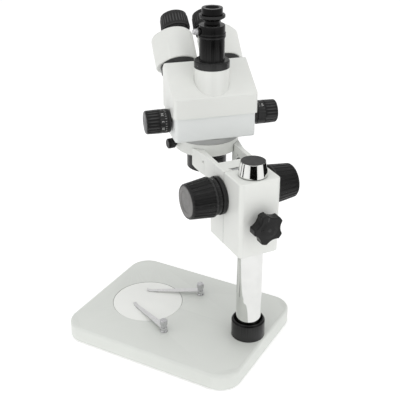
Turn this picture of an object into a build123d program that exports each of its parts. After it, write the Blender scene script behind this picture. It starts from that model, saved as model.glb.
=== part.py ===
"""Trinocular stereo zoom microscope on a pillar stand: one STEP file for each piece."""

import os
from math import acos, cos, pi, radians, sin, sqrt, tan

from build123d import *

os.makedirs("parts", exist_ok=True)

# Base, feet and stage plate
foot_drop = 1.5
foot_radius = 10.0
foot_height = 4.0
base_length = 250.0
base_width = 196.0
base_height = 21.5
base_corner = 28.0
base_edge = 4.0
base_wall = 7.0
base_top = foot_drop + base_height
stage_y = -52.3
stage_radius = 47.5
stage_thickness = 5.0
stage_gap = 0.35
foot_inset = 30.0
foot_spots = [
    (x * (base_width / 2 - foot_inset), y * (base_length / 2 - foot_inset))
    for x in (-1, 1)
    for y in (-1, 1)
]

# Stage clips
clip_x = 49.5
clip_y = 3.5
clip_pin = 3.0
clip_height = 17.5
clip_length = 76.0
clip_turn = {"right": 27.0, "left": -22.0}
leaf = 0.8

# Pillar
pillar_y = 100.9
pillar_radius = 16.0
pillar_bore = 12.5
pillar_socket = 7.0
pillar_top = 254.0
cap_top = 268.0
running_fit = 0.05

# Focus block and carriage, measured across, rearwards and up from the pillar's axis
arm_swing = -35.8
block_half = 27.0
block_rear = 21.5
block_low = 151.5
block_high = 249.5
seam = 0.5
carriage_front = -58.0
rebate_front = -47.5
rebate_low = 186.0
bush_radius = 17.6
bush_shoulder = 8.0
bush_ring_height = 3.0
clamp_z = 196.5
stud_radius = 4.0

# Dovetail, rack and focus pinion
rail_back = -19.8
rail_tip = -27.0
rail_neck = 13.0
rail_flare = 3.2
rack_half = 4.5
rack_seat = -21.2
focus_module = 1.0
focus_teeth = 14
pinion_v = -31.0
pinion_z = 215.0
shaft_radius = 3.0
knob_start = 35.0
knob_end = 72.7
gib = 1.5

# Arm and ring holder
ring_reach = 124.5
ring_outer = 41.0
ring_bore = 38.05
ring_low = 240.5
ring_high = 257.5
plate = 6.0
lock_z = 251.5
plate_top = 244.0
arm_bolts = [(x, z) for x in (-14, 14) for z in (200, 239.5)]

# Head, measured across, rearwards and up from the ring's axis
head_turn = -46.2
head_half = 53.6
body_inset = 2.0
head_rear = 44.5
head_front = -44.0
head_low = 264.3
head_split = 295.5
head_crease = 320.5
head_peak_v = -8.0
head_top = 352.0
head_shoulder = -14.0
nose_half = 40.0
shell = 3.0
port_v = 22.0
boss_radius = 21.5
boss_top = 352.5
sleeve_radius = 38.0
sleeve_bore = 33.0
cone_top = 241.5
cone_low = 228.5
objective_low = 212.2
screw_z = 396.3

# Zoom drive
zoom_v = 20.0
zoom_z = 286.9
zoom_module = 0.8
zoom_teeth = 14
zoom_half = 4.0
channel = 11.5
rod_spots = [(-28.2, 8.6), (28.2, 8.6)]

# Binocular part: tilted 45 degrees, measured from each pivot disc's centre
eye_pivot = 28.5
eye_centre_v = -26.0
eye_offset = (-7.0, -7.0)
disc_radius = 23.5
disc_height = 8.0
housing_top = 54.0
tube_bore = 15.05


def frame_at(x, y, angle):
    """Level, side and rear planes of a part that is turned about a vertical axis."""
    across = Vector(cos(radians(angle)), sin(radians(angle)), 0)
    rearward = Vector(-sin(radians(angle)), cos(radians(angle)), 0)
    level = Plane(origin=(x, y, 0), x_dir=across, z_dir=(0, 0, 1))
    side = Plane(origin=(x, y, 0), x_dir=rearward, z_dir=across)
    rear = Plane(origin=(x, y, 0), x_dir=-across, z_dir=rearward)
    return level, side, rear


def moved(plane, x, y, z=0.0):
    """The plane with its origin moved by local distances."""
    return Plane(origin=plane.from_local_coords((x, y, z)), x_dir=plane.x_dir, z_dir=plane.z_dir)


def mirrored(plane):
    """The same plane facing the other way."""
    return Plane(origin=plane.origin, x_dir=-plane.x_dir, z_dir=-plane.z_dir)


arm_level, arm_side, arm_rear = frame_at(0, pillar_y, arm_swing)
ring_axis = arm_level.from_local_coords((0, -ring_reach, 0))
head_level, head_side, head_rear_plane = frame_at(ring_axis.X, ring_axis.Y, head_turn)


def eye_plane(sign):
    """A pivot disc's plane on the tilted front face: local x points outwards."""
    centre_z = head_top + eye_centre_v - head_peak_v
    centre = head_level.from_local_coords((sign * eye_pivot, eye_centre_v, centre_z))
    forward = head_rear_plane.z_dir * -1
    tilt = (forward + Vector(0, 0, 1)) * sqrt(0.5)
    return Plane(origin=centre, x_dir=head_level.x_dir * sign, z_dir=tilt)


def save(piece, name):
    """Labels a finished piece and writes its file."""
    piece.part.label = name
    export_step(piece.part, f"parts/{name}.step")


def turn(base, outline, mode=Mode.ADD):
    """Turns a half outline of (radius, height) points about the base plane's normal."""
    with BuildSketch(Plane(origin=base.origin, x_dir=base.x_dir, z_dir=-base.y_dir)) as half:
        with BuildLine():
            Polyline(*outline, close=True)
        make_face()
    revolve(half.sketch, axis=Axis(base.origin, base.z_dir), mode=mode)


def bar(plane, outline, near, far, mode=Mode.ADD):
    """Extrudes a closed outline between two distances from the plane."""
    with BuildSketch(plane.offset(near)) as profile:
        with BuildLine():
            Polyline(*outline, close=True)
        make_face()
    extrude(profile.sketch, amount=far - near, mode=mode)


def rod(plane, radius, near, far, mode=Mode.ADD):
    """A round bar along the plane's normal."""
    with BuildSketch(plane.offset(near)) as profile:
        Circle(radius)
    extrude(profile.sketch, amount=far - near, mode=mode)


def box(plane, x, y, near, far, mode=Mode.ADD):
    """A block between pairs of local distances."""
    corners = [(x[0], y[0]), (x[1], y[0]), (x[1], y[1]), (x[0], y[1])]
    bar(plane, corners, near, far, mode)


def fluted(radius, depth, count):
    """Points round a circle with flat-bottomed flutes."""
    step = 2 * pi / count
    points = []
    for flute in range(count):
        for share, reach in ((0.0, radius), (0.5, radius), (0.62, radius - depth), (0.88, radius - depth)):
            angle = step * (flute + share)
            points.append((reach * cos(angle), reach * sin(angle)))
    return points


def grip(plane, near, near_radius, far, far_radius, depth, count):
    """A fluted grip that tapers between two distances along the plane's normal."""
    ends = []
    for distance, radius in ((near, near_radius), (far, far_radius)):
        with BuildSketch(plane.offset(distance)) as end:
            with BuildLine():
                Polyline(*fluted(radius, depth, count), close=True)
            make_face()
        ends.append(end.sketch)
    loft(ends, ruled=True)


def gear_outline(module, teeth, backlash):
    """Points round a spur gear with involute flanks, one tooth along local x."""
    pressure = radians(20)
    pitch = module * teeth / 2
    base = pitch * cos(pressure)
    root = pitch - 1.25 * module
    tip = pitch + 0.95 * module
    half = pi / (2 * teeth) - backlash / (2 * pitch) + tan(pressure) - pressure
    flank = [(root, half)]
    for step in range(5):
        radius = max(base, root) + (tip - max(base, root)) * step / 4
        roll = acos(base / radius)
        flank.append((radius, half - tan(roll) + roll))
    points = []
    for tooth in range(teeth):
        centre = 2 * pi * tooth / teeth
        points += [(r * cos(centre - a), r * sin(centre - a)) for r, a in flank]
        points += [(r * cos(centre + a), r * sin(centre + a)) for r, a in reversed(flank)]
    return points


def rack_outline(module, pitch_line, facing, back, low, high, gap_at, backlash):
    """A rack's outline in a side plane, with one tooth gap centred at the height gap_at."""
    pitch = pi * module
    half = pitch / 4 - backlash / 2
    slope = tan(radians(20))
    root = pitch_line - facing * 1.25 * module
    tip = pitch_line + facing * 0.95 * module
    first = int((low - gap_at) / pitch) - 1
    teeth = [gap_at + (k + 0.5) * pitch for k in range(first, -first + 40)]
    points = [(back, high), (back, low), (root, low)]
    for z in teeth:
        if low + 0.6 * pitch < z < high - 0.6 * pitch:
            wide = half + 1.25 * module * slope
            thin = half - 0.95 * module * slope
            points += [(root, z - wide), (tip, z - thin), (tip, z + thin), (root, z + wide)]
    return points + [(root, high)]


def lens(plane, radius, centre, edge, bulge):
    """A lens with two bulging faces, square to the plane's normal."""
    with BuildSketch(Plane(origin=plane.origin, x_dir=plane.x_dir, z_dir=-plane.y_dir)) as half:
        with BuildLine():
            low = centre - edge / 2
            high = centre + edge / 2
            Line((0, low - bulge), (0, high + bulge))
            RadiusArc((0, high + bulge), (radius, high), (radius**2 + bulge**2) / (2 * bulge))
            Line((radius, high), (radius, low))
            RadiusArc((radius, low), (0, low - bulge), (radius**2 + bulge**2) / (2 * bulge))
        make_face()
    revolve(half.sketch, axis=Axis(plane.origin, plane.z_dir))


# ---------------------------------------------------------------- base and stage


def make_base():
    ground = Plane.XY.offset(foot_drop)
    with BuildPart() as base_plate:
        with BuildSketch(ground):
            RectangleRounded(base_width, base_length, base_corner)
        extrude(amount=base_height)
        fillet(base_plate.edges().group_by(Axis.Z)[-1], base_edge)
        with BuildSketch(ground):
            inner = base_corner - base_wall
            RectangleRounded(base_width - 2 * base_wall, base_length - 2 * base_wall, inner)
            with Locations((0, stage_y)):
                Circle(stage_radius + base_wall, mode=Mode.SUBTRACT)
            with Locations((0, pillar_y)):
                Circle(pillar_radius + base_wall, mode=Mode.SUBTRACT)
            with Locations(*foot_spots):
                Circle(foot_radius + 3, mode=Mode.SUBTRACT)
        extrude(amount=base_height - base_wall, mode=Mode.SUBTRACT)
        stage = moved(Plane.XY, 0, stage_y)
        rod(stage, stage_radius + stage_gap, base_top - stage_thickness, base_top, Mode.SUBTRACT)
        rod(stage, stage_radius - 8, foot_drop, base_top, Mode.SUBTRACT)
        column = moved(Plane.XY, 0, pillar_y)
        rod(column, pillar_radius + 0.02, base_top - pillar_socket, base_top, Mode.SUBTRACT)
        rod(column, 5.2, foot_drop, base_top, Mode.SUBTRACT)
        rod(column, 9.0, foot_drop, foot_drop + 9, Mode.SUBTRACT)
        for x in (-clip_x, clip_x):
            rod(moved(Plane.XY, x, clip_y), clip_pin + running_fit, base_top - 6, base_top, Mode.SUBTRACT)
        for x, y in foot_spots:
            rod(moved(Plane.XY, x, y), foot_radius + 0.02, foot_drop, foot_height, Mode.SUBTRACT)
    save(base_plate, "base_plate")


def make_feet():
    outline = [(0, 0), (foot_radius - 1.2, 0), (foot_radius, 1.2), (foot_radius, foot_height)]
    with BuildPart() as rubber_feet:
        for x, y in foot_spots:
            turn(moved(Plane.XY, x, y), outline + [(0, foot_height)])
    save(rubber_feet, "rubber_feet")


def make_stage_plate():
    with BuildPart() as stage_plate:
        with BuildSketch(moved(Plane.XY, 0, stage_y, base_top - stage_thickness)):
            Circle(stage_radius)
        extrude(amount=stage_thickness)
        chamfer(stage_plate.edges().group_by(Axis.Z)[-1], 0.4)
    save(stage_plate, "stage_plate")


def make_clip(side, sign):
    """A stage clip: a turned post with a slot, and the leaf spring that it holds."""
    seat = moved(Plane.XY, sign * clip_x, clip_y)
    level, _, _ = frame_at(sign * clip_x, clip_y, -90 - clip_turn[side])
    along = Plane(origin=level.origin, x_dir=level.x_dir, z_dir=-level.y_dir)
    eye_low = base_top + 6.0
    eye_high = eye_low + leaf + 0.1
    post_top = base_top + clip_height
    with BuildPart() as post:
        low = base_top - 5.8
        foot = base_top + 0.1
        outline = [(0, low), (clip_pin, low), (clip_pin, foot), (4.8, foot), (4.8, foot + 1), (4.0, foot + 2)]
        outline += [(4.0, eye_low), (clip_pin, eye_low), (clip_pin, eye_high), (4.0, eye_high)]
        outline += [(4.0, post_top - 7)]
        outline += [(5.0, post_top - 5.8), (5.0, post_top - 0.8), (4.3, post_top), (0, post_top)]
        turn(seat, outline)
        with BuildSketch(seat.offset(post_top - 5.2)) as flutes:
            with PolarLocations(5.15, 20):
                Circle(0.4)
        extrude(flutes.sketch, amount=6, mode=Mode.SUBTRACT)
    save(post, f"clip_post_{side}")
    with BuildPart() as spring:
        tip = base_top + 0.15
        bend = clip_length * 0.93
        bottom = eye_low + 0.05
        lower = [(-6, bottom), (7, bottom), (bend, tip), (clip_length, tip + 1.8)]
        bar(along, lower + [(x, z + leaf) for x, z in reversed(lower)], -7, 7)
        with BuildSketch(level) as plan:
            Circle(5.2)
            with BuildLine():
                Polyline((3, -4.6), (clip_length, -2.2), (clip_length, 2.2), (3, 4.6), close=True)
            make_face()
            Circle(clip_pin + 0.02, mode=Mode.SUBTRACT)
        extrude(plan.sketch, amount=post_top, mode=Mode.INTERSECT)
    save(spring, f"clip_spring_{side}")


# ---------------------------------------------------------------- pillar


def make_pillar():
    column = moved(Plane.XY, 0, pillar_y)
    bottom = base_top - pillar_socket
    with BuildPart() as pillar:
        outline = [(5.0, bottom), (pillar_radius, bottom), (pillar_radius, pillar_top)]
        outline += [(pillar_bore, pillar_top), (pillar_bore, bottom + 26), (5.0, bottom + 26)]
        turn(column, outline)
    save(pillar, "pillar")
    with BuildPart() as pillar_bolt:
        seat = foot_drop + 9
        outline = [(0, seat - 8), (8, seat - 8), (8, seat), (4.98, seat)]
        outline += [(4.98, bottom + 22), (0, bottom + 22)]
        turn(column, outline)
        with BuildSketch(column.offset(seat - 8)):
            RegularPolygon(4.6, 6)
        extrude(amount=5, mode=Mode.SUBTRACT)
    save(pillar_bolt, "pillar_bolt")
    with BuildPart() as pillar_collar:
        ring = pillar_radius + 0.1
        outline = [(ring, 0), (21.5, 0), (21.5, 22.0), (19.8, 24.5), (18.4, 24.5), (ring, 20.5)]
        turn(column.offset(base_top), outline)
    save(pillar_collar, "pillar_collar")
    with BuildPart() as pillar_cap:
        skirt = block_high + 0.8
        seat = cap_top - 1.8
        plug = pillar_bore - 0.02
        outline = [(0, pillar_top - 8), (plug, pillar_top - 8), (plug, pillar_top)]
        outline += [(pillar_radius + 0.02, pillar_top), (pillar_radius + 0.02, skirt), (17.5, skirt)]
        outline += [(17.8, skirt + 0.4), (17.7, skirt + 1.6), (15.3, cap_top - 1.0), (15.0, cap_top - 0.4)]
        turn(column, outline + [(14.75, cap_top - 0.4), (14.75, seat), (0, seat)])
    save(pillar_cap, "pillar_cap")
    with BuildPart() as cap_insert:
        turn(column, [(0, seat), (14.7, seat), (14.7, cap_top - 0.5), (14.0, cap_top), (0, cap_top)])
    save(cap_insert, "cap_insert")


# ---------------------------------------------------------------- focus block


def make_column_bush():
    low = block_low + bush_ring_height + 0.1
    high = block_high - bush_shoulder - 0.1
    inner = pillar_radius + running_fit
    with BuildPart() as column_bush:
        turn(arm_level, [(inner, low), (bush_radius, low), (bush_radius, high), (inner, high)])
        box(arm_level, (-20, -10), (-1, 1), low, high, Mode.SUBTRACT)
    save(column_bush, "column_bush")
    with BuildPart() as bush_ring:
        inner = pillar_radius + 0.6
        outline = [(inner, block_low), (19.5, block_low), (19.5, block_low + bush_ring_height)]
        turn(arm_level, outline + [(inner, block_low + bush_ring_height)])
    save(bush_ring, "bush_ring")


def make_focus_block():
    half = block_half
    with BuildPart() as focus_block:
        outline = [(-half, -block_rear), (half, -block_rear), (half, block_rear), (-half, block_rear)]
        bar(arm_level, outline, block_low, block_high)
        upright = focus_block.edges().filter_by(Axis.Z)
        fillet(upright.sort_by(Axis(arm_level.origin, arm_rear.z_dir))[-2:], 6.0)
        outer = focus_block.faces().sort_by(Axis.Z)
        chamfer(outer[-1].edges() + outer[0].edges(), 1.2)
        rod(arm_level, bush_radius + running_fit, block_low, block_high - bush_shoulder, Mode.SUBTRACT)
        rod(arm_level, pillar_radius + 0.5, block_low, block_high, Mode.SUBTRACT)
        rod(arm_level, 19.52, block_low, block_low + bush_ring_height, Mode.SUBTRACT)
        groove = rail_neck + 0.02
        box(arm_level, (-groove, groove), (-block_rear - 1, rail_back), block_low, block_high, Mode.SUBTRACT)
        rod(moved(arm_rear, 0, clamp_z), stud_radius + 0.05, 10, block_rear, Mode.SUBTRACT)
    save(focus_block, "focus_block")


def make_clamp():
    axis = moved(arm_rear, 0, clamp_z)
    with BuildPart() as clamp_stud:
        turn(axis, [(0, 17.8), (3.2, 17.8), (stud_radius, 18.7), (stud_radius, 40.0), (0, 40.0)])
    save(clamp_stud, "clamp_stud")
    with BuildPart() as star_knob:
        with BuildSketch(axis.offset(30.5)) as lobes:
            Circle(19.6)
            with PolarLocations(30.0, 5):
                Circle(14.7, mode=Mode.SUBTRACT)
            offset(amount=-2.0)
            offset(amount=2.0)
        extrude(lobes.sketch, amount=13)
        outward = Axis(axis.origin, axis.z_dir)
        fillet(star_knob.edges().group_by(outward)[-1], 1.5)
        fillet(star_knob.edges().group_by(outward)[0], 1.5)
        turn(axis, [(0, 23.0), (8.0, 23.0), (9.5, 31.0), (0, 31.0)])
        turn(axis, [(0, 43.4), (12.0, 43.4), (7.0, 44.3), (0, 44.6)])
        rod(axis, stud_radius, 20, 40, Mode.SUBTRACT)
    save(star_knob, "star_knob")


def make_rail():
    flare = rail_neck + rail_flare
    outline = [(-rail_neck, rail_back), (-rail_neck, -block_rear), (-flare, rail_tip), (-rack_half, rail_tip)]
    outline += [(-rack_half, rack_seat), (rack_half, rack_seat), (rack_half, rail_tip), (flare, rail_tip)]
    outline += [(rail_neck, -block_rear), (rail_neck, rail_back)]
    with BuildPart() as dovetail_rail:
        bar(arm_level, outline, block_low + bush_ring_height + 0.5, block_high - 1)
    save(dovetail_rail, "dovetail_rail")
    pitch_line = pinion_v + focus_module * focus_teeth / 2
    with BuildPart() as focus_rack:
        low = pinion_z - 44
        high = pinion_z + 34
        outline = rack_outline(focus_module, pitch_line, -1, rack_seat, low, high, pinion_z, 0.25)
        bar(arm_side, outline, -rack_half + 0.05, rack_half - 0.05)
    save(focus_rack, "focus_rack")


def rail_half(v):
    """The dovetail's half width at a distance behind the pillar's axis."""
    return rail_neck + rail_flare * (-block_rear - v) / (-block_rear - rail_tip)


def make_carriage():
    half = block_half
    rear = -block_rear - seam
    free = 0.07
    wide = gib / 0.864 + 2 * free
    floor = rail_tip - 0.5
    flare = rail_half(floor)
    neck = rail_half(rear)
    with BuildPart() as carriage:
        outline = [(-half, carriage_front), (half, carriage_front), (half, rear), (-half, rear)]
        bar(arm_level, outline, block_low, block_high)
        upright = carriage.edges().filter_by(Axis.Z)
        fillet(upright.sort_by(Axis(arm_level.origin, arm_rear.z_dir))[:2], 2.0)
        outer = carriage.faces().sort_by(Axis.Z)
        chamfer(outer[-1].edges() + outer[0].edges(), 0.8)
        rebate = (carriage_front - 1, rebate_front)
        box(arm_level, (-half - 1, half + 1), rebate, rebate_low, block_high + 1, Mode.SUBTRACT)
        channel_shape = [(-neck - free, rear + 1), (neck + wide, rear + 1), (neck + wide, rear)]
        channel_shape += [(flare + wide, floor), (-flare - free, floor), (-neck - free, rear)]
        bar(arm_level, channel_shape, block_low, block_high, Mode.SUBTRACT)
        pinion = moved(arm_side, pinion_v, pinion_z)
        box(pinion, (-8.6, 8), (-9, 9), -rack_half, rack_half, Mode.SUBTRACT)
        rod(pinion, shaft_radius + running_fit, -half, half, Mode.SUBTRACT)
        for side in (-1, 1):
            ends = sorted((side * (half - 4), side * half))
            rod(pinion, 9.0, *ends, Mode.SUBTRACT)
        for x, z in arm_bolts:
            rod(moved(arm_rear, -x, z), 2.5, rebate_front, rebate_front + 10, Mode.SUBTRACT)
    save(carriage, "carriage")
    with BuildPart() as gib_strip:
        inner = wide - free
        outline = [(neck + free, rear), (neck + inner, rear), (flare + inner, floor), (flare + free, floor)]
        bar(arm_level, outline, block_low + 2, block_high - 2)
    save(gib_strip, "gib_strip")
    with BuildPart() as tension_rings:
        for side in (-1, 1):
            plane = pinion if side > 0 else mirrored(pinion)
            inner = shaft_radius + 0.3
            outline = [(inner, half - 3.9), (8.95, half - 3.9), (8.95, half + 0.7), (23.0, half + 0.7)]
            outline += [(24.0, half + 1.7), (24.0, half + 5.5), (23.2, half + 6.3), (22.6, half + 6.3)]
            turn(plane, outline + [(22.6, half + 7.3), (inner, half + 7.3)])
    save(tension_rings, "tension_rings")


def make_focus_pinion():
    pinion = moved(arm_side, pinion_v, pinion_z)
    with BuildPart() as pinion_shaft:
        rod(pinion, shaft_radius, -knob_end + 4, knob_end - 4)
        bar(pinion, gear_outline(focus_module, focus_teeth, 0.25), -rack_half + 0.3, rack_half - 0.3)
    save(pinion_shaft, "pinion_shaft")
    for side, plane in (("right", pinion), ("left", mirrored(pinion))):
        with BuildPart() as knob:
            turn(plane, [(0, knob_start), (23.2, knob_start), (23.2, 40.5), (0, 40.5)])
            turn(plane, [(0, 40.4), (23.6, 40.4), (25.1, 41.4), (25.1, 43.5), (0, 43.5)])
            grip(plane, 43.4, 25.0, 69.8, 22.0, 0.7, 26)
            turn(plane, [(0, 69.7), (21.8, 69.7), (21.8, 71.2), (20.6, knob_end), (0, knob_end)])
            rod(plane, 19.4, knob_end - 1.6, knob_end, Mode.SUBTRACT)
            rod(plane, shaft_radius, knob_start, knob_end - 4, Mode.SUBTRACT)
        save(knob, f"focus_knob_{side}")
    with BuildPart() as knob_faces:
        for plane in (pinion, mirrored(pinion)):
            low = knob_end - 1.6
            outline = [(0, low), (19.35, low), (19.35, knob_end - 0.2), (18.8, knob_end + 0.3)]
            outline += [(14.0, knob_end + 0.3), (13.4, knob_end - 0.2)]
            turn(plane, outline + [(0, knob_end - 0.2)])
    save(knob_faces, "knob_faces")


# ---------------------------------------------------------------- arm


def make_arm():
    centre = moved(arm_level, 0, -ring_reach)
    back = carriage_front
    inner = block_half - plate
    root = rebate_front - 0.1
    cheek = [(root, rebate_low + 0.1), (root, block_high - 0.5), (-90, block_high + 1.5)]
    cheek += [(-104, block_high + 2), (-104, 231), (-94, 226), (-81, 223), (-69, 222)]
    cheek += [(-60, 214), (back, 206), (back, rebate_low + 0.1)]
    wings = []
    for side in (-1, 1):
        plan = [(inner, root), (block_half, root), (block_half, -74), (32.5, -99.5), (inner, -104)]
        with BuildPart() as wing:
            bar(arm_side, cheek, -40, 40)
            bar(arm_level, [(side * x, y) for x, y in plan], 180, 260, Mode.INTERSECT)
        wings.append(wing.part)
    with BuildPart() as arm:
        box(arm_level, (-block_half, block_half), (back, root), rebate_low + 0.1, plate_top)
        add(wings)
        outline = [(ring_bore, ring_low), (ring_outer - 1, ring_low), (ring_outer, ring_low + 1)]
        outline += [(ring_outer, ring_high - 1), (ring_outer - 1, ring_high), (ring_bore, ring_high)]
        turn(centre, outline)
        rod(centre, ring_bore, 180, 280, Mode.SUBTRACT)
        rod(moved(arm_side, -ring_reach, lock_z), 5.0, ring_bore - 2, ring_outer + 2.5)
        rod(moved(arm_side, -ring_reach, lock_z), 2.55, ring_bore - 3, ring_outer + 3, Mode.SUBTRACT)
        rod(centre, ring_bore, 180, 280, Mode.SUBTRACT)
        for x, z in arm_bolts:
            rod(moved(arm_rear, -x, z), 2.75, back - 1, root, Mode.SUBTRACT)
        rod(moved(arm_side, -77.5, 240), 1.5, -block_half - 1, block_half + 1, Mode.SUBTRACT)
    save(arm, "arm")
    with BuildPart() as arm_screws:
        for x, z in arm_bolts:
            axis = moved(mirrored(arm_rear), x, z)
            head_start = -carriage_front
            outline = [(0, 38.0), (2.48, 38.0), (2.48, head_start), (4.25, head_start)]
            turn(axis, outline + [(4.25, head_start + 4.5), (3.9, head_start + 5), (0, head_start + 5)])
            with BuildSketch(axis.offset(head_start + 2.5)) as socket:
                RegularPolygon(2.3, 6)
            extrude(socket.sketch, amount=3, mode=Mode.SUBTRACT)
    save(arm_screws, "arm_screws")
    with BuildPart() as head_lock_screw:
        axis = moved(arm_side, -ring_reach, lock_z)
        tip = sleeve_radius + 0.15
        turn(axis, [(0, tip), (2.0, tip), (2.5, tip + 0.55), (2.5, 46), (0, 46)])
        turn(axis, [(0, 45.0), (4.5, 45.0), (4.5, 46.5), (0, 46.5)])
        grip(axis, 46.4, 6.4, 54.5, 6.4, 0.5, 20)
        turn(axis, [(0, 54.4), (6.0, 54.4), (5.2, 55.4), (0, 55.4)])
    save(head_lock_screw, "head_lock_screw")


# ---------------------------------------------------------------- head


def plan_outline(inset):
    """The head's plan: square at the rear, narrowing towards the nose."""
    wide = head_half - inset
    nose = nose_half - inset
    rear = head_rear - inset
    front = head_front + inset
    right = [(nose, front), (wide, head_shoulder - inset * 0.3), (wide, rear)]
    return right + [(-x, y) for x, y in reversed(right)]


def make_head_body():
    with BuildPart() as head_body:
        bar(head_level, plan_outline(body_inset), head_low, head_split)
        upright = head_body.edges().filter_by(Axis.Z)
        fillet(upright.sort_by(Axis(head_level.origin, head_rear_plane.z_dir))[-2:], 4.0)
        upright = head_body.edges().filter_by(Axis.Z)
        fillet(upright.sort_by(Axis(head_level.origin, head_rear_plane.z_dir))[:2], 8.0)
        fillet(head_body.faces().sort_by(Axis.Z)[0].edges(), 2.0)
        bar(head_level, plan_outline(body_inset + shell), head_low + 4, head_split, Mode.SUBTRACT)
        rod(head_level, sleeve_bore, head_low, head_split, Mode.SUBTRACT)
        shaft = moved(head_side, zoom_v, zoom_z)
        rod(shaft, shaft_radius + running_fit, -60, 60, Mode.SUBTRACT)
    save(head_body, "head_body")


def cover_profile(inset):
    """Side outline of the upper cover: rear wall, slope, and the tilted front face."""
    rear = head_rear - inset
    front = head_front + inset
    crease = head_crease - inset * 0.75
    peak = head_top - inset * 1.2
    drop = (head_peak_v - front) - inset * 0.6
    sloped = [(rear, crease), (head_peak_v, peak), (front, peak - drop)]
    return [(rear, head_split)] + sloped + [(front, head_split)]


def make_head_cover():
    boss = moved(head_level, 0, port_v)
    with BuildPart() as cavity:
        bar(head_side, cover_profile(shell), -head_half, head_half)
        bar(head_level, plan_outline(shell), head_split, head_top + 5, Mode.INTERSECT)
    with BuildPart() as head_cover:
        bar(head_side, cover_profile(0), -head_half, head_half)
        bar(head_level, plan_outline(0), head_split, head_top + 5, Mode.INTERSECT)
        rearward = Axis(head_level.origin, head_rear_plane.z_dir)
        fillet(head_cover.edges().filter_by(Axis.Z).sort_by(rearward)[-2:], 4.5)
        rim = head_cover.faces().sort_by(Axis.Z)[0].edges()
        fillet([edge for edge in head_cover.edges() if edge not in rim], 2.0)
        rod(boss, boss_radius, head_crease - 8, boss_top)
        add(cavity.part, mode=Mode.SUBTRACT)
        rod(boss, 13.0, head_split, boss_top, Mode.SUBTRACT)
        for sign in (-1, 1):
            rod(eye_plane(sign), 13.05, -12, 2, Mode.SUBTRACT)
    save(head_cover, "head_cover")


def make_mount_and_objective():
    with BuildPart() as mount_sleeve:
        outline = [(sleeve_bore, ring_low - 1.5), (sleeve_radius - 1, ring_low - 1.5)]
        outline += [(sleeve_radius, ring_low - 0.5), (sleeve_radius, ring_high + 0.1)]
        outline += [(42.0, ring_high + 0.1)]
        turn(head_level, outline + [(42.0, head_low), (sleeve_bore, head_low)])
    save(mount_sleeve, "mount_sleeve")
    with BuildPart() as objective_housing:
        outline = [(26.0, cone_top + 6), (sleeve_bore - 0.02, cone_top + 6), (sleeve_bore - 0.02, cone_top)]
        outline += [(29.5, cone_top), (25.9, cone_low + 1), (25.9, cone_low), (23.0, cone_low)]
        turn(head_level, outline)
        for x, y in rod_spots:
            rod(moved(head_level, x, y), 2.0, cone_top + 2.5, cone_top + 6, Mode.SUBTRACT)
    save(objective_housing, "objective_housing")
    with BuildPart() as objective_ring:
        low = objective_low
        outline = [(22.0, cone_low), (25.8, cone_low), (25.8, low + 1), (25.0, low), (24.0, low)]
        turn(head_level, outline + [(24.0, low + 6), (20.0, low + 6), (20.0, low + 7), (22.0, low + 7)])
    save(objective_ring, "objective_ring")
    with BuildPart() as objective_lens:
        lens(head_level, 21.95, low + 10.5, 4.0, 1.5)
    save(objective_lens, "objective_lens")


def make_zoom_drive():
    shaft = moved(head_side, zoom_v, zoom_z)
    pitch_radius = zoom_module * zoom_teeth / 2
    with BuildPart() as zoom_shaft:
        rod(shaft, shaft_radius, -80, 80)
        bar(shaft, gear_outline(zoom_module, zoom_teeth, 0.2), -zoom_half, zoom_half)
    save(zoom_shaft, "zoom_shaft")
    for side, plane in (("right", shaft), ("left", mirrored(shaft))):
        with BuildPart() as knob:
            turn(plane, [(0, 54.0), (13.8, 54.0), (14.6, 54.8), (14.6, 57.4), (14.0, 58.0), (0, 58.0)])
            turn(plane, [(0, 57.9), (15.0, 57.9), (15.0, 67.5), (14.4, 68.1), (0, 68.1)])
            grip(plane, 68.0, 15.0, 83.0, 14.6, 0.6, 22)
            turn(plane, [(0, 82.9), (14.2, 82.9), (14.2, 83.8), (13.4, 84.6), (0, 84.6)])
            rod(plane, shaft_radius, 53, 80, Mode.SUBTRACT)
        save(knob, f"zoom_knob_{side}")
    outline_ends = ((-1, zoom_v - pitch_radius, 11.0), (1, zoom_v + pitch_radius, 29.5))
    for name, (facing, line, back), plate_z in zip(("upper", "lower"), outline_ends, (298.5, 271.5)):
        low, high = (zoom_z - 18, plate_z + 2) if name == "upper" else (plate_z, zoom_z + 18)
        with BuildPart() as carrier:
            outline = rack_outline(zoom_module, line, -facing, back, low, high, zoom_z, 0.2)
            bar(head_side, outline, -zoom_half + 0.5, zoom_half - 0.5)
            if name == "upper":
                box(head_level, (-zoom_half + 0.5, zoom_half - 0.5), (8, 13), plate_z, plate_z + 3)
            else:
                box(head_level, (-9, 9), (8, back), plate_z, plate_z + 3)
                box(head_level, (-4.6, 4.6), (9.2, 24.4), plate_z, plate_z + 3, Mode.SUBTRACT)
            box(head_level, (-24, 24), (-11, 9), plate_z, plate_z + 3)
            for x, y in rod_spots:
                box(head_level, sorted((x / 2, x)), (y - 5, y), plate_z, plate_z + 3)
                rod(moved(head_level, x, y), 3.2, plate_z, plate_z + 6)
            for x in (-channel, channel):
                rod(moved(head_level, x, 0), 10.5, plate_z - 2, plate_z + 4)
            for x in (-channel, channel):
                rod(moved(head_level, x, 0), 9.0, plate_z - 2, plate_z + 4, Mode.SUBTRACT)
            for x, y in rod_spots:
                rod(moved(head_level, x, y), 2.0 + running_fit, plate_z, plate_z + 6, Mode.SUBTRACT)
        save(carrier, f"{name}_zoom_carrier")
        with BuildPart() as lenses:
            for x in (-channel, channel):
                lens(moved(head_level, x, 0), 8.95, plate_z + 1, 3.0, 1.0)
        save(lenses, f"{name}_zoom_lenses")
    with BuildPart() as guide_rods:
        for x, y in rod_spots:
            rod(moved(head_level, x, y), 1.98, cone_top + 2.5, 318)
    save(guide_rods, "guide_rods")


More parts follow.
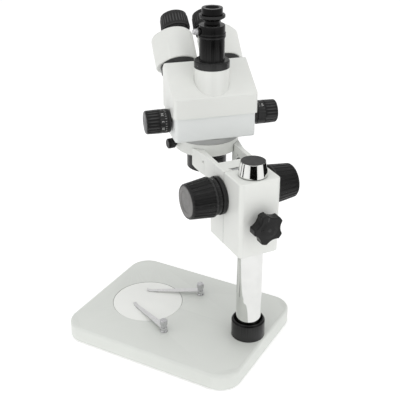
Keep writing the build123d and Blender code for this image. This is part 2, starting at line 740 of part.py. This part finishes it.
def make_beam_splitter():
    with BuildPart() as beam_splitter:
        low, high = 315.0, 329.0
        outline = [(-8, low), (port_v - 8, low), (port_v + 6, high), (6, high)]
        bar(head_side, outline, -9, 9)
    save(beam_splitter, "beam_splitter")


def make_phototube():
    port = moved(head_level, 0, port_v)
    with BuildPart() as port_flange:
        outline = [(13.0, boss_top), (21.9, boss_top), (21.9, boss_top + 7.6), (20.4, boss_top + 9.0)]
        turn(port, outline + [(15.52, boss_top + 9.0), (15.52, boss_top + 3), (13.0, boss_top + 3)])
    save(port_flange, "port_flange")
    with BuildPart() as phototube:
        bore = 12.6
        low = boss_top + 3.1
        outline = [(bore, low), (15.5, low), (15.5, 388.6), (16.6, 389.4), (16.6, 391.6), (16.0, 392.0)]
        outline += [(16.0, 392.8), (16.6, 393.2), (16.6, 394.6), (15.8, 395.2), (15.8, 403.4), (15.2, 404.1)]
        turn(port, outline + [(bore, 404.1)])
        screw = moved(head_side, port_v, screw_z)
        rod(screw, 5.0, 14.0, 17.6)
        rod(screw, 2.05, 10, 18, Mode.SUBTRACT)
        rod(port, bore, low, 404.1, Mode.SUBTRACT)
    save(phototube, "phototube")
    with BuildPart() as camera_adapter:
        outline = [(8.4, 382), (12.55, 382), (12.55, 404.2), (10.6, 404.2), (9.7, 405.2), (9.7, 409.5)]
        outline += [(15.0, 412.4), (15.8, 413.2), (15.8, 415.8), (15.2, 416.5), (12.7, 416.5), (12.7, 424.0)]
        turn(port, outline + [(12.2, 424.5), (8.4, 424.5)])
    save(camera_adapter, "camera_adapter")
    with BuildPart() as port_screw:
        turn(screw, [(0, 12.75), (2.0, 12.75), (2.0, 18.4), (0, 18.4)])
        grip(screw, 18.3, 3.6, 21.6, 3.6, 0.35, 16)
        turn(screw, [(0, 21.5), (3.1, 21.5), (3.1, 23.0), (2.3, 24.2), (0, 24.6)])
    save(port_screw, "port_screw")


def make_eye_side(side, sign):
    base = eye_plane(sign)
    x, y = eye_offset[0], eye_offset[1] * sign
    tube = moved(base, x, y)
    with BuildPart() as pivot_disc:
        outline = [(10.0, -7), (13.0, -7), (13.0, 0.3), (disc_radius, 0.3), (disc_radius, disc_height)]
        turn(base, outline + [(10.0, disc_height)])
    save(pivot_disc, f"pivot_disc_{side}")
    lobes = ((0, 0, 25.0), (10.0, -2.0 * sign, 19.0), (-6.5, -7.0 * sign, 17.5))

    def housing_outline(plane, inset):
        with BuildSketch(plane) as outline:
            for px, py, radius in lobes:
                with Locations((px, py)):
                    Circle(radius - inset)
            make_hull()
        return outline.sketch

    with BuildPart() as prism_housing:
        extrude(housing_outline(base.offset(disc_height), 0), amount=housing_top - disc_height)
        outward = Axis(base.origin, base.z_dir)
        fillet(prism_housing.edges().group_by(outward)[-1], 9.0)
        fillet(prism_housing.edges().group_by(outward)[0], 1.5)
        inner = housing_outline(base.offset(disc_height + shell), shell + 3)
        extrude(inner, amount=housing_top - disc_height - 2 * shell, mode=Mode.SUBTRACT)
        rod(base, 10.0, disc_height, disc_height + 5, Mode.SUBTRACT)
        rod(tube, tube_bore, housing_top - 8, housing_top, Mode.SUBTRACT)
    save(prism_housing, f"prism_housing_{side}")
    with BuildPart() as diopter_ring:
        outline = [(tube_bore, housing_top + 0.3), (16.4, housing_top + 0.3), (17.2, housing_top + 1.0)]
        outline += [(17.2, housing_top + 5.2), (16.6, housing_top + 6.0), (tube_bore, housing_top + 6.0)]
        turn(tube, outline)
    save(diopter_ring, f"diopter_ring_{side}")
    with BuildPart() as eyepiece:
        top = housing_top + 18
        outline = [(12.0, housing_top - 7.5), (14.98, housing_top - 7.5), (14.98, housing_top + 6.4)]
        outline += [(17.0, housing_top + 6.4), (17.0, housing_top + 9), (15.6, housing_top + 9)]
        turn(tube, outline + [(15.6, top), (11.0, top), (11.0, top - 3), (12.0, top - 3)])
    save(eyepiece, f"eyepiece_{side}")
    with BuildPart() as eyecup:
        low = housing_top + 9.1
        turn(tube, [(15.7, low), (18.6, low), (19.0, low + 1.5), (18.6, low + 3.1), (15.7, low + 3.1)])
        grip(tube, low + 3.0, 19.0, low + 16.0, 18.2, 0.6, 30)
        turn(tube, [(12, low + 15.9), (17.8, low + 15.9), (17.2, low + 20), (15.8, low + 21), (12, low + 21)])
        rod(tube, 15.7, low, low + 9.2, Mode.SUBTRACT)
        turn(tube, [(0, low + 9), (13.0, low + 9), (15.2, low + 21.1), (0, low + 21.1)], Mode.SUBTRACT)
    save(eyecup, f"eyecup_{side}")
    with BuildPart() as eye_lens:
        lens(tube, 10.95, top - 1.6, 1.5, 0.8)
    save(eye_lens, f"eye_lens_{side}")


make_base()
make_feet()
make_stage_plate()
make_clip("right", 1)
make_clip("left", -1)
make_pillar()
make_column_bush()
make_focus_block()
make_clamp()
make_rail()
make_carriage()
make_focus_pinion()
make_arm()
make_head_body()
make_head_cover()
make_mount_and_objective()
make_zoom_drive()
make_beam_splitter()
make_phototube()
make_eye_side("right", 1)
make_eye_side("left", -1)
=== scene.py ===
"""Trinocular stereo zoom microscope on its pillar stand: camera, light, finishes and fine detail."""

from math import cos, pi, radians, sin

import bpy
from mathutils import Matrix, Vector


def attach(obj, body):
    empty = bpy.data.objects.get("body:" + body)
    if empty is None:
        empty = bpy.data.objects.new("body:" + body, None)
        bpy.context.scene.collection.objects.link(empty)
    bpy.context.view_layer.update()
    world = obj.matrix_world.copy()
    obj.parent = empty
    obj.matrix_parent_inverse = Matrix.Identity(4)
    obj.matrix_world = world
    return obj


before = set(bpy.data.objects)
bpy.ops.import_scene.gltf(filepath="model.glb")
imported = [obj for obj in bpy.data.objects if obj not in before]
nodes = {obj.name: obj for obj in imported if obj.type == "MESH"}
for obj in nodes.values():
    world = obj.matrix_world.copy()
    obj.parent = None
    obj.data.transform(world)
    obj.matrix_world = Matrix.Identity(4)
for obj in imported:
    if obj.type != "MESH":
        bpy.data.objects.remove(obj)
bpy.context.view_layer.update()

MM = 0.001
RIGHT = Vector((1, 0, 0))
REARWARDS = Vector((0, 1, 0))
UP = Vector((0, 0, 1))

# ---------------------------------------------------------------- axes of the parts that are turned

pillar_axis = Vector((0, 100.9, 0)) * MM
arm_swing = radians(-35.8)
ring_reach = 124.5 * MM
head_turn = radians(-46.2)


def turned(origin, angle):
    """A frame turned about the vertical: x across, y rearwards, z up."""
    return Matrix.Translation(origin) @ Matrix.Rotation(angle, 4, "Z")


arm_frame = turned(pillar_axis, arm_swing)
head_frame = turned(arm_frame @ Vector((0, -ring_reach, 0)), head_turn)


def facing(place, direction):
    """A frame at a place whose z runs along a direction of the given frame."""
    return place @ direction.to_track_quat("Z", "Y").to_matrix().to_4x4()


def raised(place, height):
    """The same frame moved along its own z, in mm."""
    return place @ Matrix.Translation((0, 0, height * MM))


pinion_centre = arm_frame @ Matrix.Translation((0, -0.031, 0.215))
zoom_centre = head_frame @ Matrix.Translation((0, 0.020, 0.2869))
port_centre = head_frame @ Matrix.Translation((0, 0.022, 0.3565))


# ---------------------------------------------------------------- camera

camera_place = Vector((0.7753, 0.4572, 0.6453))
camera_target = Vector((-0.03781, 0.00923, 0.17723))
camera = bpy.data.objects.new("camera", bpy.data.cameras.new("camera"))
bpy.context.scene.collection.objects.link(camera)
camera.location = camera_place
camera.rotation_euler = (camera_target - camera_place).to_track_quat("-Z", "Y").to_euler()
camera.data.lens = 71.95
camera.data.sensor_width = 36
camera.data.clip_start = 0.02
bpy.context.scene.camera = camera

# ---------------------------------------------------------------- materials


class Finish:
    """A node material built up socket by socket."""

    mix_first, mix_second, mix_result = 6, 7, 2  # the colour sockets of a Mix node

    def __init__(self, name):
        self.material = bpy.data.materials.new(name)
        self.material.use_nodes = True
        self.tree = self.material.node_tree
        self.shader = self.tree.nodes["Principled BSDF"]
        self.place = self.add("ShaderNodeTexCoord").outputs["Object"]

    def add(self, kind, **values):
        node = self.tree.nodes.new(kind)
        for key, value in values.items():
            setattr(node, key, value)
        return node

    def link(self, output, socket):
        self.tree.links.new(output, socket)

    def set(self, **values):
        """Plain values on the shader's own sockets."""
        for key, value in values.items():
            self.shader.inputs[key.replace("_", " ")].default_value = value

    def noise(self, scale, detail, stretch=None):
        """A noise output; stretch squeezes the pattern along the axes."""
        node = self.add("ShaderNodeTexNoise")
        node.inputs["Scale"].default_value = scale
        node.inputs["Detail"].default_value = detail
        node.inputs["Roughness"].default_value = 0.55
        source = self.place
        if stretch:
            mapping = self.add("ShaderNodeMapping")
            mapping.inputs["Scale"].default_value = stretch
            self.link(source, mapping.inputs["Vector"])
            source = mapping.outputs["Vector"]
        self.link(source, node.inputs["Vector"])
        return node.outputs["Fac"]

    def ramp(self, value, low, high, start=0.35, end=0.65):
        """Maps a pattern between start and end to colours or to greys."""
        node = self.add("ShaderNodeValToRGB")
        for element, place, colour in zip(node.color_ramp.elements, (start, end), (low, high)):
            element.position = place
            element.color = colour if isinstance(colour, tuple) else (colour, colour, colour, 1)
        self.link(value, node.inputs["Fac"])
        return node.outputs["Color"]

    def colour(self, output):
        self.link(output, self.shader.inputs["Base Color"])

    def roughness(self, output):
        self.link(output, self.shader.inputs["Roughness"])

    def mixed(self, factor, first, second, **values):
        """Mixes two colours; each of them and the factor is an output or a plain value."""
        node = self.add("ShaderNodeMix", data_type="RGBA", **values)
        sockets = (node.inputs["Factor"], node.inputs[self.mix_first], node.inputs[self.mix_second])
        for socket, value in zip(sockets, (factor, first, second)):
            if isinstance(value, bpy.types.NodeSocket):
                self.link(value, socket)
            else:
                socket.default_value = value
        return node.outputs[self.mix_result]

    def bump(self, layers):
        """Stacks bumps: each layer is a pattern and its height in metres."""
        normal = None
        for value, distance in layers:
            node = self.add("ShaderNodeBump")
            node.inputs["Strength"].default_value = 1.0
            node.inputs["Distance"].default_value = distance
            self.link(value, node.inputs["Height"])
            if normal:
                self.link(normal, node.inputs["Normal"])
            normal = node.outputs["Normal"]
        self.link(normal, self.shader.inputs["Normal"])


def shade(colour, factor):
    """A lighter or darker opaque version of a colour."""
    return tuple(min(1.0, channel * factor) for channel in colour) + (1,)


def worn_edges(finish, colour, worn):
    """Blends towards a worn colour along convex edges."""
    geometry = finish.add("ShaderNodeNewGeometry")
    edge = finish.ramp(geometry.outputs["Pointiness"], 0.0, 1.0, 0.52, 0.60)
    return finish.mixed(edge, colour, worn)


def shaded_gaps(finish, colour):
    """Painted shade: darkens the paint colour by ambient occlusion inside the narrow gaps where two pieces
    meet.
    """
    gaps = finish.add("ShaderNodeAmbientOcclusion", samples=8)
    gaps.inputs["Distance"].default_value = 1.6 * MM
    shadow = finish.ramp(gaps.outputs["AO"], 0.35, 1.0, 0.35, 0.75)
    return finish.mixed(1.0, colour, shadow, blend_type="MULTIPLY")


def powder_coat(name, colour, grain=1500, depth=0.00003):
    """Sprayed and baked paint: fine orange peel, faint mottling, slightly lighter edges, painted shade in
    the gaps between pieces.
    """
    finish = Finish(name)
    mottle = finish.ramp(finish.noise(14, 4), shade(colour, 0.97), shade(colour, 1.02))
    # painted shade in the gaps between pieces, over the mottled colour and the lighter worn edges
    finish.colour(shaded_gaps(finish, worn_edges(finish, mottle, shade(colour, 1.05))))
    finish.roughness(finish.ramp(finish.noise(60, 3), 0.36, 0.46))
    finish.bump([(finish.noise(grain, 2), depth), (finish.noise(grain / 5, 2), depth)])
    finish.set(IOR=1.5, Coat_Weight=0.12, Coat_Roughness=0.25)
    return finish.material


def chrome(name):
    """Bright plating with the faintest polishing haze."""
    finish = Finish(name)
    finish.colour(finish.ramp(finish.noise(30, 2), (0.69, 0.695, 0.68, 1), (0.74, 0.745, 0.73, 1)))
    finish.roughness(finish.ramp(finish.noise(220, 4, (1, 1, 0.15)), 0.03, 0.07))
    finish.bump([(finish.noise(900, 2, (1, 1, 0.05)), 0.000001)])
    finish.set(Metallic=1.0)
    return finish.material


def machined(name, colour, rough=0.28, stretch=(1, 1, 12), scale=420):
    """Turned or ground metal: fine tool lines, uneven sheen."""
    finish = Finish(name)
    lines = finish.noise(scale, 3, stretch)
    finish.colour(finish.ramp(lines, shade(colour, 0.82), shade(colour, 1.08)))
    finish.roughness(finish.ramp(finish.noise(80, 3), rough - 0.06, rough + 0.08))
    finish.bump([(lines, 0.00001)])
    finish.set(Metallic=1.0)
    return finish.material


def black_anodised(name):
    """Satin black turned aluminium: fine turning lines and greyer edges."""
    finish = Finish(name)
    darker = shade((0.003, 0.003, 0.003), 0.8)
    lighter = shade((0.00315, 0.003, 0.003), 1.25)
    base = finish.ramp(finish.noise(35, 3), darker, lighter)
    finish.colour(worn_edges(finish, base, (0.04, 0.04, 0.04, 1)))
    finish.roughness(finish.ramp(finish.noise(180, 4), 0.12, 0.22))
    finish.bump([(finish.noise(600, 2, (0.3, 0.3, 4)), 0.000004), (finish.noise(2200, 2), 0.000003)])
    finish.set(Specular_IOR_Level=0.1)
    return finish.material


def black_plastic(name, level=0.010, rough=0.34, grain=1600):
    """Moulded black plastic with a light grained skin."""
    finish = Finish(name)
    black = (level, level, level)
    base = finish.ramp(finish.noise(25, 4), shade(black, 0.85), shade(black, 1.3))
    finish.colour(worn_edges(finish, base, (0.045, 0.045, 0.045, 1)))
    finish.roughness(finish.ramp(finish.noise(120, 4), rough - 0.07, rough + 0.1))
    finish.bump([(finish.noise(grain, 3), 0.00002)])
    finish.set(Specular_IOR_Level=0.2)
    return finish.material


def rubber(name):
    """Soft rubber: dull, faintly mottled, greyer along the edges."""
    finish = Finish(name)
    base = finish.ramp(finish.noise(45, 5), (0.009, 0.009, 0.009, 1), (0.018, 0.018, 0.018, 1))
    finish.colour(worn_edges(finish, base, (0.06, 0.06, 0.06, 1)))
    finish.roughness(finish.ramp(finish.noise(90, 4), 0.52, 0.72))
    finish.bump([(finish.noise(1300, 3), 0.00006)])
    finish.set(Specular_IOR_Level=0.3, Sheen_Weight=0.05, Sheen_Roughness=0.5)
    return finish.material


def spun(name, place, colour):
    """Metal brushed in circles round a place's z axis."""
    finish = Finish(name)
    mapping = finish.add("ShaderNodeMapping", vector_type="TEXTURE")
    mapping.inputs["Location"].default_value = place.to_translation()
    mapping.inputs["Rotation"].default_value = place.to_euler()
    finish.link(finish.place, mapping.inputs["Vector"])
    flatten = finish.add("ShaderNodeVectorMath", operation="MULTIPLY")
    flatten.inputs[1].default_value = (1, 1, 0)
    finish.link(mapping.outputs["Vector"], flatten.inputs[0])
    length = finish.add("ShaderNodeVectorMath", operation="LENGTH")
    finish.link(flatten.outputs["Vector"], length.inputs[0])
    rings = finish.add("ShaderNodeTexNoise", noise_dimensions="1D")
    rings.inputs["Scale"].default_value = 2600
    rings.inputs["Detail"].default_value = 4
    finish.link(length.outputs["Value"], rings.inputs["W"])
    pattern = rings.outputs["Fac"]
    finish.colour(finish.ramp(pattern, shade(colour, 0.8), shade(colour, 1.15)))
    finish.roughness(finish.ramp(finish.noise(100, 3), 0.32, 0.48))
    finish.bump([(pattern, 0.00002)])
    finish.set(Metallic=0.85)
    return finish.material


def optical_glass(name, tint):
    """Lens glass with a faintly coloured coating and a trace of dust."""
    finish = Finish(name)
    finish.colour(finish.ramp(finish.noise(30, 3), shade(tint, 0.94), shade(tint, 1.0)))
    finish.roughness(finish.ramp(finish.noise(260, 4), 0.0, 0.05, 0.45, 0.85))
    finish.bump([(finish.noise(200, 1), 0.0000005)])
    finish.set(IOR=1.52, Transmission_Weight=1.0, Coat_Weight=1.0, Coat_Roughness=0.02)
    finish.set(Coat_Tint=(0.55, 0.45, 0.9, 1))
    return finish.material


white = powder_coat("white_powder_coat", (0.75, 0.76, 0.73))
cool_white = powder_coat("cool_white_powder_coat", (0.745, 0.765, 0.755))
# Painted shade: the mount sleeve is coloured mid grey to stand for the shadow it sits in under the head.
sleeve_painted_shade_grey = powder_coat("sleeve_painted_shade_grey", (0.36, 0.365, 0.36), 2000, 0.00001)
base_white = powder_coat("base_powder_coat", (0.69, 0.71, 0.675), 1100, 0.00005)
stage_white = powder_coat("stage_white", (0.86, 0.87, 0.84), 2200, 0.00001)
bright_chrome = chrome("bright_chrome")
steel = machined("ground_steel", (0.62, 0.62, 0.63))
spring_steel = machined("spring_steel", (0.80, 0.80, 0.80), 0.36, (4, 4, 1), 300)
brass = machined("machined_brass", (0.66, 0.50, 0.24), 0.3)
anodised = black_anodised("satin_black")
knob_black = black_plastic("knob_black")
grey_plastic = black_plastic("cap_insert_grey", 0.05, 0.5, 900)
soft_rubber = rubber("soft_rubber")
disc_grey = spun("spun_grey", facing(pinion_centre, RIGHT), (0.25, 0.245, 0.24))
zoom_disc = spun("spun_dark", facing(zoom_centre, RIGHT), (0.12, 0.12, 0.125))
glass = optical_glass("coated_glass", (0.96, 0.98, 0.97))
print_white = powder_coat("print_white", (0.62, 0.62, 0.61), 3000, 0.000004)

finishes = {
    white: ["focus_block", "carriage", "arm", "head_cover", "prism_housing_right", "prism_housing_left"],
    cool_white: ["head_body"],
    # the mount sleeve takes the painted shade grey
    sleeve_painted_shade_grey: ["mount_sleeve"],
    base_white: ["base_plate"],
    stage_white: ["stage_plate"],
    bright_chrome: ["pillar", "pillar_cap"],
    steel: [
        "pillar_bolt", "clip_post_right", "clip_post_left", "clamp_stud", "port_screw", "guide_rods",
        "pinion_shaft", "zoom_shaft", "focus_rack", "dovetail_rail",
    ],
    spring_steel: ["clip_spring_right", "clip_spring_left"],
    brass: ["column_bush", "gib_strip"],
    anodised: [
        "pillar_collar", "bush_ring", "arm_screws", "objective_housing", "objective_ring", "port_flange",
        "phototube", "camera_adapter", "pivot_disc_right", "pivot_disc_left", "diopter_ring_right",
        "diopter_ring_left", "eyepiece_right", "eyepiece_left", "tension_rings", "upper_zoom_carrier",
        "lower_zoom_carrier",
    ],
    knob_black: [
        "star_knob", "focus_knob_right", "focus_knob_left", "zoom_knob_right", "zoom_knob_left",
        "head_lock_screw",
    ],
    disc_grey: ["knob_faces"],
    grey_plastic: ["cap_insert"],
    soft_rubber: ["rubber_feet", "eyecup_right", "eyecup_left"],
    glass: [
        "beam_splitter", "objective_lens", "upper_zoom_lenses", "lower_zoom_lenses", "eye_lens_right",
        "eye_lens_left",
    ],
}
for finish, names in finishes.items():
    for name in names:
        nodes[name].data.materials.clear()
        nodes[name].data.materials.append(finish)

# ---------------------------------------------------------------- softened edges on the carried-over parts

small_edge = 0.15
edge_widths = {
    "base_plate": 0.5, "focus_block": 0.9, "carriage": 0.9, "arm": 0.6, "head_body": 0.5, "head_cover": 0.5,
    "star_knob": 0.4, "pillar_collar": 0.3, "stage_plate": 0.2,
}
for name, node in nodes.items():
    bevel = node.modifiers.new("soft_edges", "BEVEL")
    bevel.width = edge_widths.get(name, small_edge) * MM
    bevel.segments = 2
    bevel.limit_method = "ANGLE"
    bevel.angle_limit = radians(35)
    bevel.use_clamp_overlap = True
    bevel.harden_normals = False

# ---------------------------------------------------------------- fine detail pieces


def mesh_item(name, vertices, faces, finish):
    """A mesh in one finish."""
    mesh = bpy.data.meshes.new(name)
    mesh.from_pydata(vertices, [], faces)
    mesh.materials.append(finish)
    mesh.update()
    item = bpy.data.objects.new(name, mesh)
    bpy.context.scene.collection.objects.link(item)
    return item


def piece(name, vertices, faces, place, finish, body, smooth):
    """A mesh piece put in place, which moves with its body."""
    item = mesh_item(name, [place @ Vector(vertex) for vertex in vertices], faces, finish)
    for face in item.data.polygons:
        face.use_smooth = smooth
    if smooth:
        edges = item.modifiers.new("crisp_edges", "EDGE_SPLIT")
        edges.split_angle = radians(40)
    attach(item, body)


def stacked_rings(name, rings, count, place, finish, body, smooth):
    """A closed piece round the place's z; each ring has a radius for every angle and a height, in mm."""
    vertices = []
    faces = []
    for radius_at, height in rings:
        for step in range(count):
            angle = 2 * pi * step / count
            radius = radius_at(angle)
            vertices.append((radius * cos(angle) * MM, radius * sin(angle) * MM, height * MM))
    last = len(vertices) - count
    bottom = len(vertices)
    top = bottom + 1
    vertices += [(0, 0, rings[0][1] * MM), (0, 0, rings[-1][1] * MM)]
    for step in range(count):
        following = (step + 1) % count
        for low in range(0, last, count):
            high = low + count
            faces.append((low + step, low + following, high + following, high + step))
        faces.append((bottom, following, step))
        faces.append((top, last + step, last + following))
    piece(name, vertices, faces, place, finish, body, smooth)


def circle(radius):
    """A ring's radius that is the same at every angle."""
    return lambda angle: radius


def hexagon(corner):
    """A ring's radius that follows a hexagon with this distance to its corners."""
    return lambda angle: corner * cos(pi / 6) / cos(angle % (pi / 3) - pi / 6)


def grub_screw(name, place, radius, proud, body):
    """A socket set screw: chamfered rim, hexagon recess; the place's z points outwards."""
    sunk = 1.0
    chamfer = 0.15
    socket = hexagon(radius * 0.55)
    socket_depth = radius * 0.8
    rings = [
        (circle(radius), -sunk),
        (circle(radius), proud - chamfer),
        (circle(radius - chamfer), proud),
        (socket, proud),
        (socket, proud - socket_depth),
    ]
    stacked_rings(name, rings, 48, place, steel, body, smooth=False)


# Each printed sign is one line of strokes, 1 wide and 2 high.
signs = {
    "1": [(0.6, 0), (0.6, 2), (0.1, 1.6)],
    "2": [(0, 1.9), (0.5, 2), (1, 1.5), (0, 0), (1, 0)],
    "3": [(0, 2), (1, 2), (0.4, 1.2), (1, 0.7), (0.6, 0), (0, 0.1)],
    "4": [(0.75, 0), (0.75, 2), (0, 0.6), (1.05, 0.6)],
    "5": [(1, 2), (0.1, 2), (0, 1.15), (0.7, 1.2), (1, 0.6), (0.6, 0), (0, 0.1)],
    ".": [(0.4, 0), (0.4, 0.25)],
    "-": [(0.5, 0), (0.5, 2)],
}
collar_radius = 15.0
ink_below, ink_above = -0.05, 0.04
box_sides = ((3, 7, 5, 1), (4, 6, 2, 0), (1, 5, 4, 0), (6, 7, 3, 2), (2, 3, 1, 0), (5, 7, 6, 4))


def sign_width(sign):
    """The room a printed sign takes, in halves of its height."""
    return (0.55 if sign == "." else 1.0) * 1.35


def stroke_corners(start, end, weight):
    """The four corners of a flat stroke between two points of the print."""
    along = Vector(end) - Vector(start)
    across = Vector((-along.y, along.x)).normalized() * weight / 2
    return [Vector(point) + side * across for point in (start, end) for side in (1, -1)]


def collar_marks(name, place, labels, spread, low, height, weight):
    """Printed marks round a zoom knob's collar, evenly spread over an angle, reading round its axis."""
    vertices = []
    faces = []
    unit = height / 2
    for number, label in enumerate(labels):
        width = sum(sign_width(sign) for sign in label) * unit
        edge = collar_radius * spread * (number / (len(labels) - 1) - 0.5) - width / 2
        for sign in label:
            points = [(edge + x * unit, y * unit) for x, y in signs[sign]]
            for start, end in zip(points, points[1:]):
                first = len(vertices)
                faces += [[first + corner for corner in side] for side in box_sides]
                for x, y in stroke_corners(start, end, weight):
                    angle = x / collar_radius
                    for rise in (ink_below, ink_above):
                        reach = (collar_radius + rise) * MM
                        vertices.append((reach * cos(angle), reach * sin(angle), (low + y) * MM))
            edge += sign_width(sign) * unit
    piece(name, vertices, faces, place, print_white, "zoom", smooth=False)


def wall(place, height, direction, radius):
    """A frame on a round piece's wall, whose z points outwards."""
    return raised(facing(raised(place, height), direction), radius)


zoom_labels = ["1", "1.5", "2", "2.5", "3", "3.5", "4", "4.5"]
zoom_end_face = 84.6
disc_radius, disc_chamfer, disc_depth = 12.9, 0.3, 0.6
disc_rings = [
    (circle(disc_radius), -disc_depth),
    (circle(disc_radius), -0.2),
    (circle(disc_radius - disc_chamfer), 0.02),
]
for side, along in (("right", 1), ("left", -1)):
    outwards = Vector((along, 0, 0))
    knob_place = facing(zoom_centre, outwards)
    face = raised(knob_place, zoom_end_face)
    stacked_rings(f"zoom_knob_disc_{side}", disc_rings, 96, face, zoom_disc, "zoom", smooth=True)
    numbers = f"zoom_numbers_{side}"
    collar_marks(numbers, knob_place, zoom_labels, radians(250), low=63.4, height=2.3, weight=0.36)
    ticks = f"zoom_ticks_{side}"
    collar_marks(ticks, knob_place, ["-"] * 22, radians(262), low=59.6, height=1.7, weight=0.3)

    screw = wall(knob_place, height=55.6, direction=REARWARDS, radius=14.5)
    grub_screw(f"zoom_grub_screw_{side}", screw, radius=1.5, proud=0.05, body="zoom")
    screw = wall(facing(pinion_centre, outwards), height=38.0, direction=REARWARDS, radius=23.1)
    grub_screw(f"focus_grub_screw_{side}", screw, radius=1.8, proud=0.06, body="pinion")

for number, angle in enumerate((20, 140, 260)):
    outwards = Vector((cos(radians(angle)), sin(radians(angle)), 0))
    screw = wall(port_centre, height=0, direction=outwards, radius=21.8)
    grub_screw(f"port_grub_screw_{number + 1}", screw, radius=1.5, proud=0.06, body="head")

# ---------------------------------------------------------------- stage, light


def floor_finish():
    """Seamless white paper."""
    finish = Finish("floor_paper")
    finish.colour(finish.ramp(finish.noise(3, 2), (0.93, 0.93, 0.93, 1), (0.95, 0.95, 0.95, 1)))
    finish.roughness(finish.ramp(finish.noise(8, 2), 0.75, 0.85))
    finish.bump([(finish.noise(500, 2), 0.00002)])
    finish.set(Specular_IOR_Level=0.2, Emission_Color=(1, 1, 1, 1), Emission_Strength=0.26)
    return finish.material


floor_half = 30.0
floor_height = -0.2 * MM
square = ((-1, -1), (1, -1), (1, 1), (-1, 1))
floor_corners = [(x * floor_half, y * floor_half, floor_height) for x, y in square]
plane = mesh_item("floor", floor_corners, [(0, 1, 2, 3)], floor_finish())


def area_light(name, place, target, size, power):
    """A softbox that faces a target; sizes in metres, power in watts."""
    data = bpy.data.lights.new(name, "AREA")
    data.shape = "RECTANGLE"
    data.size, data.size_y = size
    data.energy = power
    light = bpy.data.objects.new(name, data)
    light.location = place
    light.rotation_euler = (Vector(target) - Vector(place)).to_track_quat("-Z", "Y").to_euler()
    light.visible_camera = False
    bpy.context.scene.collection.objects.link(light)


def dark_card(name, angle, spread):
    """A black card curved round the pillar, which only mirror reflections in the chrome see."""
    distance, bottom, top = 0.2, 0.12, 0.32
    steps = 8
    vertices = []
    for step in range(steps + 1):
        turn = angle + spread * (step / steps - 0.5)
        out = pillar_axis + Vector((cos(turn), sin(turn), 0)) * distance
        vertices += [out + bottom * UP, out + top * UP]
    faces = [(k, k + 2, k + 3, k + 1) for k in range(0, 2 * steps, 2)]
    card = mesh_item(name, vertices, faces, anodised)
    card.visible_camera = False
    card.visible_diffuse = False
    card.visible_shadow = False
    card.visible_transmission = False


middle = (0, 0, 0.2)
area_light("top_softbox", (0.3, 0.2, 1.9), middle, (1.8, 1.8), 7.2)
area_light("rear_softbox", (0.2, 1.9, 0.9), middle, (1.0, 1.4), 2.2)
area_light("side_softbox", (1.7, -0.9, 0.9), middle, (1.0, 1.4), 2.6)

for number, (angle, spread) in enumerate(((30, 54), (140, 56), (-52, 10), (-78, 8))):
    dark_card(f"dark_card_{number}", radians(angle), radians(spread))

world = bpy.data.worlds.new("studio")
world.use_nodes = True
background = world.node_tree.nodes["Background"]
background.inputs["Color"].default_value = (1, 1, 1, 1)
background.inputs["Strength"].default_value = 0.78
bpy.context.scene.world = world
bpy.context.scene.view_settings.view_transform = "Standard"
